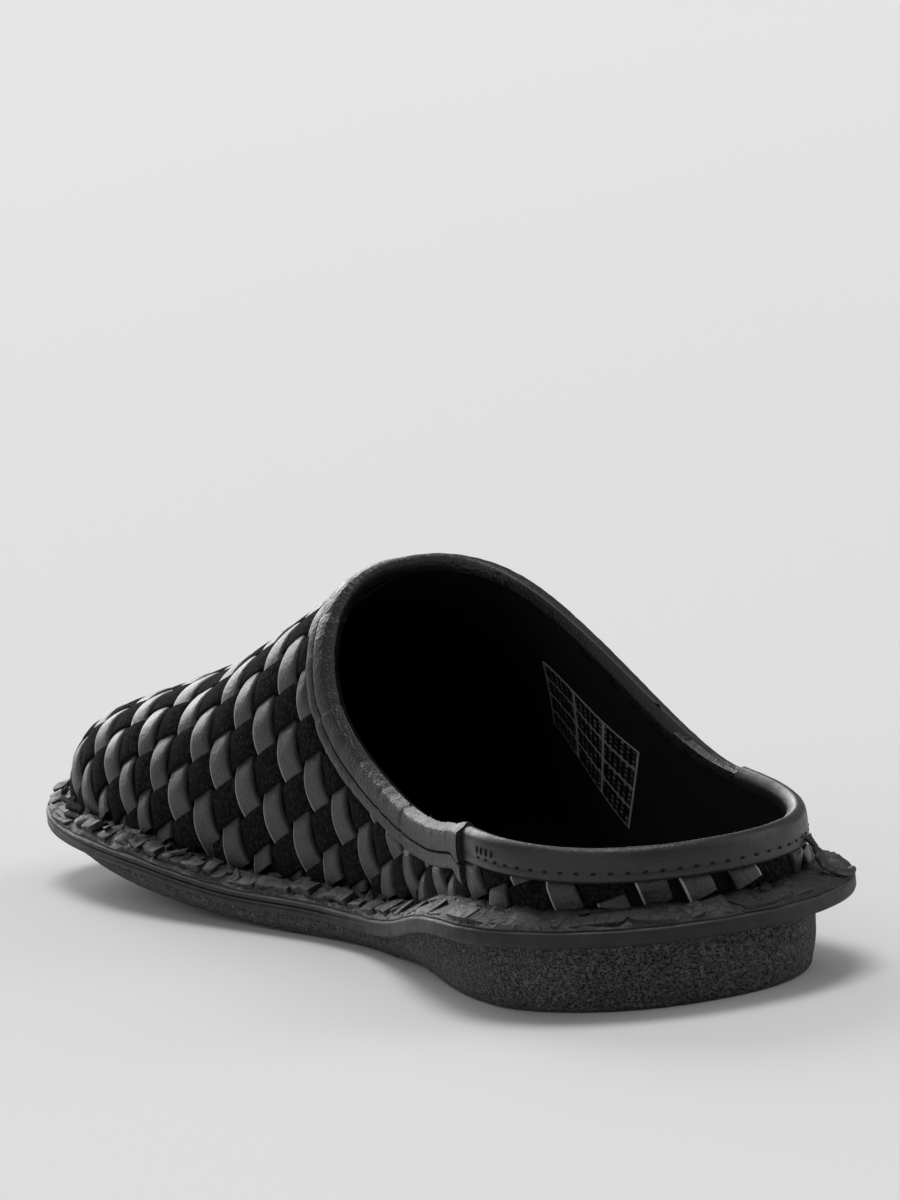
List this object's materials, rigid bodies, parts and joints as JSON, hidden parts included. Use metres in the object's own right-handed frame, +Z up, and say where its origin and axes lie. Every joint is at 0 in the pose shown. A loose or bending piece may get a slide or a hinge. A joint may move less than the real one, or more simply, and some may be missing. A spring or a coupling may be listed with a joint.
{
  "type": "clog",
  "caption": "Slip-on clog with a closed woven leather toe, a low bound heel collar, a flanged midsole and a rubber sole with a low heel.",
  "frame": {"origin": "middle of the sole's outline, on the ground", "axes": "+Y from heel to toe, +X to the wearer's right, +Z up"},
  "size_m": [0.1004, 0.29, 0.0764],
  "materials": {
    "outsole_rubber": "matt pitted black crumb rubber",
    "midsole_leather": "smooth black edge-finished leather",
    "insole_leather": "smooth black lining leather",
    "rand_leather": "creased black leather strip ends",
    "woven_leather": "black woven strips, satin one way and suede the other",
    "binding_leather": "soft black leather with a slight sheen"
  },
  "bodies": {
    "root": {"outsole": "outsole_rubber", "midsole": "midsole_leather", "insole": "insole_leather", "rand": "rand_leather", "upper": "woven_leather", "collar_binding_front": "binding_leather", "collar_binding_heel": "binding_leather"}
  },
  "joints": []
}
